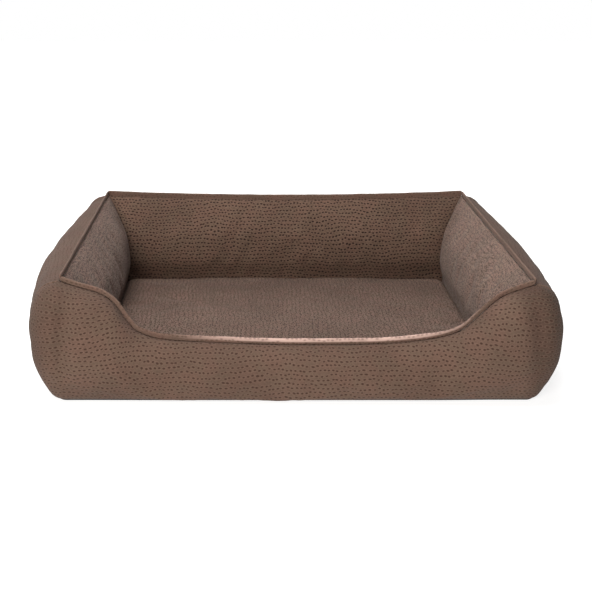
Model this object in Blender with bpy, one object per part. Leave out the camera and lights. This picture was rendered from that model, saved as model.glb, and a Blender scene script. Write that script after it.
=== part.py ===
"""Pet cushion bed: a sewn cover with four bolsters round a well, and a loose zipped cushion in the well.

Metres, +Z up, +X to the right, the entrance towards -Y. The origin is on the floor under the middle of the bed.

The wall of the bed is a ring. Its rim seam is a rectangle, and every wall piece is lofted round it:
  u  runs once round the ring from 0 to 8, seen from above anticlockwise. Even whole numbers start the straight
     runs (0 front, 2 right, 4 back, 6 left) and odd ones the corner arcs between them, mitred at their middle.
  n  is the distance outside the rim seam; it is negative on the side of the well.
"""

from math import cos, pi, sin, sqrt

import bmesh
import bpy

# Rim seam in plan, and the heights of the seam line under its raised ridge
RIM_HALF_WIDTH = 0.438
RIM_HALF_DEPTH = 0.335
WIDTH_TAPER = 0.0464
FRONT_PEAK_HEIGHT = 0.231
BACK_CORNER_HEIGHT = 0.247
BACK_MIDDLE_DROP = 0.010
ENTRANCE_HEIGHT = 0.111
ENTRANCE_RISE = 0.010
ENTRANCE_FLAT_END = 0.27
ENTRANCE_RAMP_END = 0.398
PEAK_RISE = 0.014
RIDGE_HEIGHT = 0.009
RIDGE_HALF_THICKNESS = 0.0022

# Wall profile: fraction of the seam height, and distance outside or inside the rim seam
OUTER_PROFILE = ((0.0, 0.0185), (0.03, 0.0275), (0.10, 0.037), (0.22, 0.048), (0.40, 0.0567),
                 (0.60, 0.059), (0.80, 0.050), (0.93, 0.033), (1.0, 0.0016))
INNER_PROFILE = ((0.0, 0.043), (0.20, 0.045), (0.45, 0.045), (0.65, 0.039), (0.85, 0.021), (1.0, 0.0016))
SIDE_SWELL = 0.45
ENTRANCE_SLIM = 0.63
FOOT_Z = 0.003

# Fabrics, fillings and the gaps between them
PANEL_THICKNESS = 0.0016
CASING_THICKNESS = 0.0008
SEAM_GAP = 0.0004
BASE_THICKNESS = 0.002
CORE_GAP = 0.0088
CORE_CASING_GAP = 0.0014
CORE_TUCK = 0.028
CORE_TUCK_LEVEL = 0.30
CORE_LEVELS = (0.03, 0.10, 0.22, 0.40, 0.60, 0.80, 0.94)
PANEL_MITRE_GAP = 0.0002
CASING_MITRE_GAP = 0.002
CORE_MITRE_GAP = 0.0045
CORNER_SEAM_THICKNESS = 0.0012
CORNER_SEAM_TRIM = 0.0010

# Loose cushion
CUSHION_HALF_WIDTH = 0.390
CUSHION_HALF_DEPTH = 0.287
CUSHION_CORNER_RADIUS = 0.030
CUSHION_ARC_STEPS = 4
LINER_MOUTH = (0.25, 0.0220, 0.0250)

# Zips: the tape's outer face is the zip's own zero, and its slit is at the zip's centre height
TAPE_THICKNESS = 0.0006
SLIT_HALF = 0.0010
COIL_WIDTH = 0.0015
COIL_HEIGHT = 0.0012
SLIDER_HALF_HEIGHT = 0.005
SLIDER_HALF_LENGTH = 0.0055
SLIDER_PLATE = 0.0010
SLIDER_WEB_HALF = 0.0004
STOP_HALF_LENGTH = 0.0015
BAIL_GAP = 0.0003
COVER_ZIP_Y = RIM_HALF_DEPTH + 0.0262
COVER_ZIP_Z = 0.0215
COVER_ZIP_HALF = 0.368
COVER_ZIP_WINDOW = (0.0095, 0.034)
CUSHION_ZIP_Y = CUSHION_HALF_DEPTH - 0.0040
CUSHION_ZIP_Z = 0.0235
CUSHION_ZIP_HALF = 0.330
CUSHION_ZIP_WINDOW = (0.0165, 0.0305)

# Ring stations of each kind of piece
FRONT_STATIONS = (0.0, 0.043, 0.10, 0.128, 0.155, 0.18, 0.25, 0.375, 0.5,
                  0.625, 0.75, 0.82, 0.845, 0.872, 0.90, 0.957, 1.0)
SIDE_STATIONS = (0.0, 0.2, 0.4, 0.6, 0.8, 1.0)
ARC_STATIONS = (0.25, 0.5, 0.75)

TAUPE = (0.105, 0.062, 0.043)
TAUPE_DARK = (0.070, 0.042, 0.030)
LINING = (0.035, 0.024, 0.019)
BASE_FABRIC = (0.030, 0.026, 0.024)
FILLING = (0.78, 0.77, 0.74)
CASING_FABRIC = (0.62, 0.60, 0.56)
FOAM = (0.74, 0.70, 0.55)
TAPE_FABRIC = (0.060, 0.038, 0.028)
NICKEL = (0.55, 0.53, 0.50)
LABEL_FABRIC = (0.70, 0.68, 0.64)

# Blank label at the back left corner seam: its heights, how far it is sewn in and hangs out, half its thickness
LABEL_Z = (0.050, 0.076)
LABEL_INSET = 0.004
LABEL_REACH = 0.016
LABEL_HALF_THICKNESS = 0.0003
LABEL_LEVEL = 0.31

# Bail and pull tab of the cover's slider
BAIL_OUTLINE = ((-0.0025, 0.0), (-0.0025, 0.0038), (0.0025, 0.0038), (0.0025, 0.0), (0.0015, 0.0),
                (0.0015, 0.0028), (-0.0015, 0.0028), (-0.0015, 0.0))
BAIL_HALF_WIDTH = 0.0005
PULL_OUTLINE = ((0.0005, -0.003), (0.0005, 0.003), (-0.020, 0.004), (-0.024, 0.002), (-0.024, -0.002),
                (-0.020, -0.004))
PULL_HALF_THICKNESS = 0.0005
PULL_AXIS = 0.0014
PULL_EYE = ((-0.0045, -0.0005), (-0.0015, 0.0015))


# ---------------------------------------------------------------- scene and materials

def clear_scene():
    for obj in list(bpy.data.objects):
        bpy.data.objects.remove(obj, do_unlink=True)


def make_material(name, colour, roughness, metallic=0.0):
    material = bpy.data.materials.new(name)
    material.use_nodes = True
    shader = material.node_tree.nodes["Principled BSDF"]
    shader.inputs["Base Color"].default_value = (*colour, 1.0)
    shader.inputs["Roughness"].default_value = roughness
    shader.inputs["Metallic"].default_value = metallic
    return material


def add_object(name, mesh_data, colour, roughness=0.9, metallic=0.0):
    """Turn a bmesh into a named object with its own material."""
    bmesh.ops.remove_doubles(mesh_data, verts=mesh_data.verts, dist=1e-6)
    bmesh.ops.recalc_face_normals(mesh_data, faces=mesh_data.faces)
    mesh = bpy.data.meshes.new(name)
    mesh_data.to_mesh(mesh)
    mesh_data.free()
    obj = bpy.data.objects.new(name, mesh)
    bpy.context.scene.collection.objects.link(obj)
    mesh.materials.append(make_material(name, colour, roughness, metallic))
    return obj


def cut_box(obj, name, low, high):
    """Cut a box out of an object with a hidden cutter."""
    mesh_data = bmesh.new()
    bmesh.ops.create_cube(mesh_data, size=1.0)
    for vert in mesh_data.verts:
        for axis in range(3):
            middle = (low[axis] + high[axis]) / 2
            vert.co[axis] = middle + vert.co[axis] * (high[axis] - low[axis])
    cutter = add_object(name, mesh_data, NICKEL)
    cut_with(obj, cutter)


def cut_with(obj, cutter):
    cutter.hide_render = True
    cutter.display_type = "WIRE"
    boolean = obj.modifiers.new(cutter.name, "BOOLEAN")
    boolean.operation = "DIFFERENCE"
    boolean.object = cutter


# ---------------------------------------------------------------- the ring and its profile

def interpolate(table, x):
    """Straight-line value at x in a table of (x, value) pairs."""
    for (x0, y0), (x1, y1) in zip(table, table[1:]):
        if x <= x1:
            return y0 + (y1 - y0) * max(x - x0, 0.0) / (x1 - x0)
    return table[-1][1]


def smooth_step(t):
    t = min(max(t, 0.0), 1.0)
    return t * t * (3 - 2 * t)


def ring_xy(u, n):
    """Plan position at ring parameter u, n outside the rim seam."""
    radius = max(n, 0.0)
    x = RIM_HALF_WIDTH + n - radius
    y = RIM_HALF_DEPTH + n - radius
    centres = ((x, -y), (x, y), (-x, y), (-x, -y))
    run = int(u) % 8
    t = u - int(u)
    side = run // 2
    if run % 2:
        angle = (side - 1 + t) * pi / 2
        cx, cy = centres[side]
    else:
        angle = (side - 1) * pi / 2
        start = centres[side - 1]
        end = centres[side]
        cx = start[0] + (end[0] - start[0]) * t
        cy = start[1] + (end[1] - start[1]) * t
    return cx + radius * cos(angle), cy + radius * sin(angle)


def seam_height(u):
    """Height of the rim seam line at ring parameter u."""
    x, y = ring_xy(u, 0.0)
    if y < -RIM_HALF_DEPTH + 1e-4:
        rise = ENTRANCE_RISE * min(abs(x) / ENTRANCE_FLAT_END, 1.0) ** 2
        ramp = smooth_step((abs(x) - ENTRANCE_FLAT_END) / (ENTRANCE_RAMP_END - ENTRANCE_FLAT_END))
        ramp_height = FRONT_PEAK_HEIGHT - PEAK_RISE - ENTRANCE_HEIGHT - ENTRANCE_RISE
        peak = PEAK_RISE * max(abs(x) - ENTRANCE_RAMP_END, 0.0) / (RIM_HALF_WIDTH - ENTRANCE_RAMP_END)
        return ENTRANCE_HEIGHT + rise + ramp_height * ramp + peak
    if y > RIM_HALF_DEPTH - 1e-4:
        return BACK_CORNER_HEIGHT - BACK_MIDDLE_DROP * max(1 - (x / RIM_HALF_WIDTH) ** 2, 0.0)
    along = min(max((y + RIM_HALF_DEPTH) / (2 * RIM_HALF_DEPTH), 0.0), 1.0)
    return FRONT_PEAK_HEIGHT + (BACK_CORNER_HEIGHT - FRONT_PEAK_HEIGHT) * along


def swell(u):
    """How much further than the plain profile the outside stands out at u."""
    run = int(u) % 8
    if run in (2, 6):
        return 1 + SIDE_SWELL * sin(pi * (u - int(u)))
    if run == 0:
        x = abs(ring_xy(u, 0.0)[0])
        full = smooth_step((x - ENTRANCE_FLAT_END) / (RIM_HALF_WIDTH - ENTRANCE_FLAT_END))
        return ENTRANCE_SLIM + (1 - ENTRANCE_SLIM) * full
    return 1.0


def ring_point(u, n, z):
    if n > 0:
        n *= swell(u)
    x, y = ring_xy(u, n)
    return [x, y, z]


def tapered(loops):
    """The cover and the cushion are a little wider at the back than at the entrance."""
    return [[(x * (1 + WIDTH_TAPER * y), y, z) for x, y, z in loop] for loop in loops]


def profile_line(profile, height, sign, levels=None):
    """Points (n, z) up one side of the wall, from its foot to the rim seam."""
    levels = levels or [level for level, _ in profile]
    return [(sign * interpolate(profile, level), FOOT_Z + level * (height - FOOT_Z)) for level in levels]


def offset_line(line, distance, closed=False):
    """Shift a line of (n, z) points to its left, which is into the bolster, with mitred corners."""
    count = len(line)
    edges = []
    for i in range(count if closed else count - 1):
        dn = line[(i + 1) % count][0] - line[i][0]
        dz = line[(i + 1) % count][1] - line[i][1]
        length = sqrt(dn * dn + dz * dz)
        edges.append((-dz / length, dn / length))
    shifted = []
    for i, (n, z) in enumerate(line):
        before = edges[i - 1] if closed or i > 0 else edges[0]
        after = edges[i] if i < len(edges) else edges[-1]
        stretch = distance / max(1 + before[0] * after[0] + before[1] * after[1], 0.35)
        shifted.append((n + (before[0] + after[0]) * stretch, z + (before[1] + after[1]) * stretch))
    return shifted


def skin_section(line, side):
    """Closed (n, z) loop of a fabric panel whose face is the given line; side is +1 outside, -1 inside."""
    back = offset_line(line, PANEL_THICKNESS)
    back = [(side * max(side * n, SEAM_GAP), z) for n, z in back]
    return line + back[::-1]


def outer_section(height):
    return skin_section(profile_line(OUTER_PROFILE, height, 1), 1)


def inner_section(height):
    return skin_section(profile_line(INNER_PROFILE, height, -1)[::-1], -1)


def core_section(height, grow=0.0):
    """Closed (n, z) loop of a bolster core, or of its casing's faces when grown."""
    outer = profile_line(OUTER_PROFILE, height, 1, CORE_LEVELS)
    tucked = []
    for level, (n, z) in zip(CORE_LEVELS, outer):
        tucked.append((n - CORE_TUCK * max(1 - level / CORE_TUCK_LEVEL, 0.0), z))
    inner = profile_line(INNER_PROFILE, height, -1, CORE_LEVELS)
    return offset_line(tucked + inner[::-1], CORE_GAP - grow, closed=True)


def rim_section(height):
    n = RIDGE_HALF_THICKNESS
    low = height + SEAM_GAP
    high = height + RIDGE_HEIGHT
    return [(n, low), (n, high - 0.001), (n / 2, high), (-n / 2, high), (-n, high - 0.001), (-n, low)]


# ---------------------------------------------------------------- lofting

def keep_to_side(point, side, gap):
    """Hold a point of the front, right, back or left piece off the mitre planes at its ends."""
    x, y, z = point
    difference = RIM_HALF_WIDTH - RIM_HALF_DEPTH
    if side in (0, 2):
        limit = difference + abs(y) - gap * sqrt(2)
        x = min(max(x, -limit), limit)
    else:
        limit = -difference + abs(x) - gap * sqrt(2)
        y = min(max(y, -limit), limit)
    return [x, y, z]


def side_stations(side, arcs):
    """Ring parameters of one side with part of the corner arcs at both its ends."""
    start = 2 * side
    straight = FRONT_STATIONS if side == 0 else SIDE_STATIONS
    before = [start - 1 + t for t in ARC_STATIONS if t >= 1 - arcs]
    after = [start + 1 + t for t in ARC_STATIONS if t <= arcs]
    return [u % 8 for u in before] + [start + t for t in straight[:-1]] + [start + 1.0] + after


def section_loops(stations, section):
    """The section mapped to space at each station; the end of a straight run is its corner's start."""
    return [[ring_point(u, n, z) for n, z in section(seam_height(u))] for u in stations]


def add_loops(mesh_data, loops, closed=False):
    """Skin consecutive loops of points with triangles and return the loops of vertices.

    The diagonals run the same way on both faces of a panel, so that it is as thick between its corners as at them.
    """
    verts = [[mesh_data.verts.new(point) for point in loop] for loop in loops]
    pairs = list(zip(verts, verts[1:]))
    if closed:
        pairs.append((verts[-1], verts[0]))
    for loop, following in pairs:
        for i in range(len(loop)):
            a, b, c, d = loop[i - 1], loop[i], following[i], following[i - 1]
            if b.co.z >= a.co.z:
                mesh_data.faces.new((a, b, c))
                mesh_data.faces.new((a, c, d))
            else:
                mesh_data.faces.new((a, b, d))
                mesh_data.faces.new((b, c, d))
    return verts


def add_cap(mesh_data, loop):
    cap = mesh_data.faces.new(loop)
    cap.normal_update()
    bmesh.ops.triangulate(mesh_data, faces=[cap], ngon_method="EAR_CLIP")


def loft(name, loops, colour, roughness=0.9, metallic=0.0):
    """A closed solid through the loops, capped at both ends."""
    mesh_data = bmesh.new()
    verts = add_loops(mesh_data, loops)
    add_cap(mesh_data, verts[0])
    add_cap(mesh_data, verts[-1])
    return add_object(name, mesh_data, colour, roughness, metallic)


def loft_ring(name, loops, colour, roughness=0.9):
    mesh_data = bmesh.new()
    add_loops(mesh_data, loops, closed=True)
    return add_object(name, mesh_data, colour, roughness)


def loft_sleeve(name, outer_loops, inner_loops, colour):
    """A hollow sleeve: closed at its first end, open at its last."""
    mesh_data = bmesh.new()
    outer = add_loops(mesh_data, outer_loops)
    inner = add_loops(mesh_data, inner_loops)
    add_cap(mesh_data, outer[0])
    add_cap(mesh_data, inner[0])
    count = len(outer[-1])
    for i in range(count):
        mesh_data.faces.new((outer[-1][i - 1], outer[-1][i], inner[-1][i], inner[-1][i - 1]))
    return add_object(name, mesh_data, colour)


def extrude_x(name, section, x0, x1, colour, roughness=0.9, metallic=0.0):
    """A prism of a (y, z) section between two x positions."""
    loops = [[(x, y, z) for y, z in section] for x in (x0, x1)]
    return loft(name, loops, colour, roughness, metallic)


def box(name, low, high, colour, roughness=0.9, metallic=0.0):
    section = [(low[1], low[2]), (high[1], low[2]), (high[1], high[2]), (low[1], high[2])]
    return extrude_x(name, section, low[0], high[0], colour, roughness, metallic)


# ---------------------------------------------------------------- cover

SIDE_NAMES = ("front", "right", "back", "left")


def build_wrapped_panels():
    """Front and back outer panels: each goes round both its corners to the corner seams on the sides."""
    for side in (0, 2):
        stations = side_stations(side, 1.0)
        stations = [(2 * side - 1) % 8] + stations + [2 * side + 2 - 1e-6]
        loops = section_loops(stations, outer_section)
        trim = CORNER_SEAM_TRIM if side == 2 else -CORNER_SEAM_TRIM
        for loop in (loops[0], loops[-1]):
            for point in loop:
                point[1] += trim
        loft(SIDE_NAMES[side] + "_outer_panel", tapered(loops), TAUPE)
    z0, z1 = COVER_ZIP_WINDOW
    half = COVER_ZIP_HALF + 0.004
    cut_box(bpy.data.objects["back_outer_panel"], "zip_window_cutter",
            (-half, RIM_HALF_DEPTH + 0.015, z0), (half, RIM_HALF_DEPTH + 0.08, z1))


def build_side_panels():
    for side in (1, 3):
        stations = [2 * side + t for t in SIDE_STATIONS[:-1]] + [2 * side + 1 - 1e-6]
        loops = section_loops(stations, outer_section)
        for loop, sign in ((loops[0], 1), (loops[-1], -1)):
            for point in loop:
                point[1] += sign * CORNER_SEAM_TRIM * (1 if side == 1 else -1)
        loft(SIDE_NAMES[side] + "_outer_panel", tapered(loops), TAUPE)


def mitred_loops(side, section, first_gap, last_gap):
    """Loops of one side's piece, held off the mitre plane by its own gap at each end."""
    loops = section_loops(side_stations(side, 0.5), section)
    middle = len(loops) // 2
    held = []
    for i, loop in enumerate(loops):
        gap = first_gap if i < middle else last_gap
        held.append([keep_to_side(point, side, gap) for point in loop])
    return held


def build_inner_panels():
    for side, name in enumerate(SIDE_NAMES):
        loops = mitred_loops(side, inner_section, PANEL_MITRE_GAP, PANEL_MITRE_GAP)
        loft(name + "_inner_panel", tapered(loops), TAUPE)


def build_rim_seams():
    for side, name in enumerate(SIDE_NAMES):
        loops = mitred_loops(side, rim_section, PANEL_MITRE_GAP, PANEL_MITRE_GAP)
        loft(name + "_rim_seam", tapered(loops), TAUPE_DARK)


def build_outer_corner_seams():
    """Raised seams where the wrapped panels meet the side panels."""
    half = CORNER_SEAM_THICKNESS / 2
    for name, u in (("front_right", 2.0), ("back_right", 3.0), ("back_left", 6.0), ("front_left", 7.0)):
        height = seam_height(u)
        levels = (0.005, 0.03, 0.10, 0.22, 0.40, 0.60, 0.80, 0.93, 0.985)
        line = profile_line(OUTER_PROFILE, height, 1, levels)
        section = offset_line(line, -0.0012) + offset_line(line, 0.0010)[::-1]
        loops = []
        for shift in (-half, half):
            points = [ring_point(u, max(n, 0.003), z) for n, z in section]
            loops.append([(x, y + shift, z) for x, y, z in points])
        loft(name + "_corner_seam", tapered(loops), TAUPE_DARK)


def build_inner_corner_seams():
    """Seam allowances behind the mitred corners of the well."""
    half = CORNER_SEAM_THICKNESS / 2 / sqrt(2)
    for name, u in (("front_right", 1.5), ("back_right", 3.5), ("back_left", 5.5), ("front_left", 7.5)):
        line = profile_line(INNER_PROFILE, seam_height(u), -1, (0.85, 0.65, 0.45, 0.10))
        section = [(n + 0.0022, z) for n, z in line] + [(n + 0.0102, z) for n, z in line[::-1]]
        points = [ring_point(u, n, z) for n, z in section]
        across = -1 if points[0][0] * points[0][1] > 0 else 1
        loops = []
        for shift in (-half, half):
            loops.append([(x + shift, y + across * shift, z) for x, y, z in points])
        loft(name + "_inner_corner_seam", tapered(loops), TAUPE_DARK)


def build_cores():
    """Bolster cores and their casings; each casing is closed at one end and open where the core goes in."""
    for side, name in enumerate(SIDE_NAMES):
        core = mitred_loops(side, core_section, CORE_MITRE_GAP, CORE_MITRE_GAP)
        loft(name + "_core", tapered(core), FILLING)
        inner_grow = CORE_CASING_GAP
        outer_grow = CORE_CASING_GAP + CASING_THICKNESS
        outer = mitred_loops(side, lambda h: core_section(h, outer_grow), CASING_MITRE_GAP, CASING_MITRE_GAP)
        closed_gap = CASING_MITRE_GAP + CASING_THICKNESS
        inner = mitred_loops(side, lambda h: core_section(h, inner_grow), closed_gap, CASING_MITRE_GAP)
        loft_sleeve(name + "_casing", tapered(outer), tapered(inner), CASING_FABRIC)


def build_base():
    """Non-slip base panel under the whole bed, and the floor panel of the well."""
    stations = []
    for side in range(4):
        straight = FRONT_STATIONS if side == 0 else SIDE_STATIONS
        stations += [2 * side + t for t in straight[:-1]] + [2 * side + 1.0]
        stations += [2 * side + 1 + t for t in ARC_STATIONS]
    foot = OUTER_PROFILE[0][1]
    outline = [ring_point(u, foot, 0.0) for u in stations]
    base = [[(x, y, z) for x, y, _ in outline] for z in (0.0, BASE_THICKNESS)]
    loft("base_panel", tapered(base), BASE_FABRIC)
    inset = INNER_PROFILE[0][1] + 0.0006
    floor = [[(*ring_xy(u, -inset), z) for u in (0.0, 2.0, 4.0, 6.0)] for z in (0.0026, 0.0040)]
    loft("well_floor_panel", tapered(floor), LINING)


def build_label():
    """Blank label sewn into the back left corner seam."""
    seam_x = -RIM_HALF_WIDTH - interpolate(OUTER_PROFILE, LABEL_LEVEL)
    inner = seam_x - LABEL_INSET
    outer = seam_x - LABEL_REACH
    outline = [(inner, LABEL_Z[0]), (inner, LABEL_Z[1]), (outer, LABEL_Z[1]), (outer, LABEL_Z[0])]
    loops = []
    for shift in (-LABEL_HALF_THICKNESS, LABEL_HALF_THICKNESS):
        loops.append([(x, RIM_HALF_DEPTH + shift, z) for x, z in outline])
    loft("cover_label", tapered(loops), LABEL_FABRIC)


# ---------------------------------------------------------------- zips

def build_zip(prefix, y, z, half_length, low_edge, high_edge):
    """Two tapes with half a coil each, their end stops, and the slider whose web runs in the slit."""
    back = y - TAPE_THICKNESS
    coil = y + COIL_HEIGHT
    lower = [(back, low_edge), (y, low_edge), (y, z - SLIT_HALF - COIL_WIDTH), (coil, z - SLIT_HALF - COIL_WIDTH),
             (coil, z - SLIT_HALF), (back, z - SLIT_HALF)]
    upper = [(back, z + SLIT_HALF), (coil, z + SLIT_HALF), (coil, z + SLIT_HALF + COIL_WIDTH),
             (y, z + SLIT_HALF + COIL_WIDTH), (y, high_edge), (back, high_edge)]
    extrude_x(prefix + "_zip_lower_tape", lower, -half_length, half_length, TAPE_FABRIC)
    extrude_x(prefix + "_zip_upper_tape", upper, -half_length, half_length, TAPE_FABRIC)
    stop_x = half_length - 0.014
    stop_low = (coil + SEAM_GAP, z - SLIT_HALF - COIL_WIDTH)
    stop_high = (coil + SEAM_GAP + 0.001, z + SLIT_HALF + COIL_WIDTH)
    for name, x in (("closed", stop_x), ("open", -stop_x)):
        box(prefix + "_zip_" + name + "_stop", (x - STOP_HALF_LENGTH, stop_low[0], stop_low[1]),
            (x + STOP_HALF_LENGTH, stop_high[0], stop_high[1]), NICKEL, 0.35, 1.0)
    slider_x = stop_x - STOP_HALF_LENGTH - 0.002 - SLIDER_HALF_LENGTH
    build_slider(prefix, slider_x, back, coil, z)
    return slider_x


def build_slider(prefix, x, back, coil, z):
    inner = back - SEAM_GAP
    outer = coil + SEAM_GAP
    tall = SLIDER_HALF_HEIGHT
    web = SLIDER_WEB_HALF
    section = [(inner - SLIDER_PLATE, z - tall), (inner, z - tall), (inner, z - web), (outer, z - web),
               (outer, z - tall), (outer + SLIDER_PLATE, z - tall), (outer + SLIDER_PLATE, z + tall),
               (outer, z + tall), (outer, z + web), (inner, z + web), (inner, z + tall),
               (inner - SLIDER_PLATE, z + tall)]
    extrude_x(prefix + "_zip_slider", section, x - SLIDER_HALF_LENGTH, x + SLIDER_HALF_LENGTH, NICKEL, 0.35, 1.0)


def build_pull(x, y, z):
    """Bail crimped onto the cover's slider, and the pull tab whose end bar turns under it."""
    foot = y + BAIL_GAP
    loops = []
    for dz in (-BAIL_HALF_WIDTH, BAIL_HALF_WIDTH):
        loops.append([(x + dx, foot + dy, z + dz) for dx, dy in BAIL_OUTLINE])
    loft("cover_zip_bail", loops, NICKEL, 0.35, 1.0)

    axis_y = foot + PULL_AXIS
    loops = []
    for dy in (-PULL_HALF_THICKNESS, PULL_HALF_THICKNESS):
        loops.append([(x + dx, axis_y + dy, z + dz) for dx, dz in PULL_OUTLINE])
    pull = loft("cover_zip_pull", loops, NICKEL, 0.35, 1.0)
    (eye_x0, eye_x1), (eye_z0, eye_z1) = PULL_EYE
    reach = 4 * PULL_HALF_THICKNESS
    eye_low = (x + eye_x0, axis_y - reach, z + eye_z0)
    eye_high = (x + eye_x1, axis_y + reach, z + eye_z1)
    cut_box(pull, "pull_eye_cutter", eye_low, eye_high)


# ---------------------------------------------------------------- cushion

def cushion_loop(n, z):
    """Rounded rectangle n outside the cushion's outline, at height z."""
    radius = max(CUSHION_CORNER_RADIUS + n, 0.004)
    x = CUSHION_HALF_WIDTH + n - radius
    y = CUSHION_HALF_DEPTH + n - radius
    points = []
    for corner, (cx, cy) in enumerate(((x, -y), (x, y), (-x, y), (-x, -y))):
        for step in range(CUSHION_ARC_STEPS + 1):
            angle = (corner - 1 + step / CUSHION_ARC_STEPS) * pi / 2
            points.append((cx + radius * cos(angle), cy + radius * sin(angle), z))
    return points


def cushion_solid(name, rings, colour):
    return loft(name, tapered([cushion_loop(n, z) for n, z in rings]), colour)


def cut_zip_window(obj):
    z0, z1 = CUSHION_ZIP_WINDOW
    half = CUSHION_ZIP_HALF + 0.004
    behind = CUSHION_HALF_DEPTH + 0.01
    cut_box(obj, obj.name + "_zip_cutter", (-half, CUSHION_ZIP_Y + 0.0005, z0), (half, behind, z1))


def build_cushion_cover():
    bottom = cushion_solid("cushion_bottom_panel",
                           [(-0.24, 0.0048), (-0.06, 0.0048), (-0.012, 0.0050), (-0.003, 0.0090), (0.0, 0.0150),
                            (0.0, 0.0213), (-0.0012, 0.0213), (-0.0012, 0.0150), (-0.0040, 0.0100),
                            (-0.0125, 0.0062), (-0.06, 0.0060), (-0.24, 0.0060)], LINING)
    top = cushion_solid("cushion_top_panel",
                        [(-0.24, 0.0500), (-0.14, 0.0495), (-0.06, 0.0475), (-0.016, 0.0445), (-0.006, 0.0410),
                         (-0.001, 0.0340), (0.0, 0.0257), (-0.0012, 0.0257), (-0.0022, 0.0335),
                         (-0.0068, 0.0400), (-0.0165, 0.0433), (-0.06, 0.0463), (-0.14, 0.0483),
                         (-0.24, 0.0488)], TAUPE)
    seam_section = ((-0.0012, 0.0217), (0.0016, 0.0217), (0.0016, 0.0253), (-0.0012, 0.0253))
    seam = loft_ring("cushion_edge_seam", tapered([cushion_loop(n, z) for n, z in seam_section]), TAUPE_DARK)
    for obj in (bottom, top, seam):
        cut_zip_window(obj)


def build_cushion_filling():
    liner_rings = [(-0.24, 0.0066), (-0.06, 0.0066), (-0.017, 0.0068), (-0.0085, 0.0110), (-0.0075, 0.0200),
                   (-0.0078, 0.0300), (-0.0100, 0.0375), (-0.0190, 0.0420), (-0.06, 0.0452), (-0.14, 0.0473),
                   (-0.24, 0.0478)]
    liner = cushion_solid("cushion_liner", liner_rings, CASING_FABRIC)
    hollow_rings = [(-0.24, 0.0074), (-0.06, 0.0074), (-0.0175, 0.0076), (-0.0095, 0.0114), (-0.0085, 0.0200),
                    (-0.0088, 0.0298), (-0.0108, 0.0368), (-0.0195, 0.0411), (-0.06, 0.0444), (-0.14, 0.0465),
                    (-0.24, 0.0470)]
    hollow = cushion_solid("liner_hollow_cutter", hollow_rings, CASING_FABRIC)
    cut_with(liner, hollow)
    half, z0, z1 = LINER_MOUTH
    mouth = CUSHION_HALF_DEPTH - 0.012
    cut_box(liner, "liner_mouth_cutter", (-half, mouth, z0), (half, CUSHION_HALF_DEPTH, z1))
    cushion_solid("cushion_foam",
                  [(-0.24, 0.0080), (-0.018, 0.0080), (-0.0125, 0.0115), (-0.0125, 0.0310), (-0.24, 0.0310)], FOAM)
    cushion_solid("cushion_wadding",
                  [(-0.24, 0.0316), (-0.0125, 0.0316), (-0.0150, 0.0365), (-0.0230, 0.0396), (-0.06, 0.0434),
                   (-0.14, 0.0455), (-0.24, 0.0460)], FILLING)


# ---------------------------------------------------------------- the bed

clear_scene()
build_wrapped_panels()
build_side_panels()
build_inner_panels()
build_rim_seams()
build_outer_corner_seams()
build_inner_corner_seams()
build_cores()
build_base()
build_label()
cover_slider_x = build_zip("cover", COVER_ZIP_Y, COVER_ZIP_Z, COVER_ZIP_HALF, COVER_ZIP_WINDOW[0] + 0.0003, 0.036)
build_pull(cover_slider_x, COVER_ZIP_Y + COIL_HEIGHT + SEAM_GAP + SLIDER_PLATE, COVER_ZIP_Z)
build_cushion_cover()
build_cushion_filling()
build_zip("cushion", CUSHION_ZIP_Y, CUSHION_ZIP_Z, CUSHION_ZIP_HALF, 0.0145, 0.0325)
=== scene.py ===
"""Looks of the pet cushion bed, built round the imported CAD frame.

Metres, +Z up, +X to the right, the entrance towards -Y, as in the CAD. The wall of the bed is a ring:
  u      runs once round it from 0 to 8. Even whole numbers start the straight runs (0 front, 2 right,
         4 back, 6 left) and odd ones the corner arcs between them.
  level  is the height between the wall's foot (0) and its rim seam (1).
  n      is the distance outside the rim seam; it is negative on the side of the well.
Every fabric panel is a grid of (columns, rows) points with a flat pattern in metres as its UV map.
"""

from contextlib import contextmanager
from math import cos, pi, radians, sin

import bmesh
import bpy
import numpy as np
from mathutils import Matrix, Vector, noise


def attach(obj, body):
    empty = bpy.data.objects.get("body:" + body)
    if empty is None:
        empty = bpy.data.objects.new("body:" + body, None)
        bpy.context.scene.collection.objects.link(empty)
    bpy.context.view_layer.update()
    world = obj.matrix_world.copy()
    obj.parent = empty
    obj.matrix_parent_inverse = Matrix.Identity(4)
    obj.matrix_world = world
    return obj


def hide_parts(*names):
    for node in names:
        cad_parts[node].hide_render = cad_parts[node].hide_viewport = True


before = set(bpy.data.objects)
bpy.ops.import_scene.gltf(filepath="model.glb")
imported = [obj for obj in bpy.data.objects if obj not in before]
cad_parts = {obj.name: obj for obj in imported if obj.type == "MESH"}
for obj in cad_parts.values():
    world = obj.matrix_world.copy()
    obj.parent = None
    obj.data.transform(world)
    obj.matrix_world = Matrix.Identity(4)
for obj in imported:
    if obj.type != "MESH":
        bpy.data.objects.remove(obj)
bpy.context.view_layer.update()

# Rim seam in plan and in height; the ridge stands on it
RIM_HALF_WIDTH = 0.438
RIM_HALF_DEPTH = 0.335
WIDTH_TAPER = 0.0464
FOOT_Z = 0.003
BACK_CORNER_HEIGHT = 0.247
BACK_MIDDLE_DROP = 0.010
ENTRANCE_LINE = ((-0.438, 0.233), (-0.411, 0.223), (-0.366, 0.209), (-0.340, 0.190), (-0.321, 0.161),
                 (-0.300, 0.136), (-0.254, 0.1205), (-0.152, 0.1140), (0.0, 0.1095), (0.132, 0.1105),
                 (0.224, 0.1170), (0.284, 0.128), (0.311, 0.140), (0.342, 0.170), (0.379, 0.203),
                 (0.412, 0.217), (0.438, 0.226))
FRONT_PEAK_HEIGHTS = (0.233, 0.226)

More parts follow.
